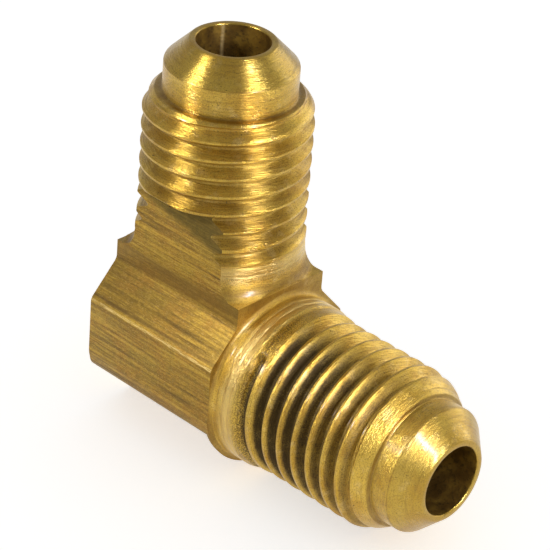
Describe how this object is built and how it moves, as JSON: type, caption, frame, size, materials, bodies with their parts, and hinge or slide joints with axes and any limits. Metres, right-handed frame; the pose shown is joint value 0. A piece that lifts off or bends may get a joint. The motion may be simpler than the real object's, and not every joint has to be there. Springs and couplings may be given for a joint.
{
  "type": "flare elbow fitting",
  "caption": "Right-angle union elbow in brass: each port has a male thread, a plain nose and a 45 degree flare seat, and a drilled passage joins the ports.",
  "frame": {"origin": "the point where the centre lines of the top port and the front port cross", "axes": "+Z out of the top port, -Y out of the front port, +X across the side flats"},
  "size_m": [0.012, 0.0271, 0.0279],
  "materials": {
    "brass": "satin, turned and drawn, with brown tarnish"
  },
  "bodies": {
    "root": {"elbow_body": "brass"}
  },
  "joints": []
}
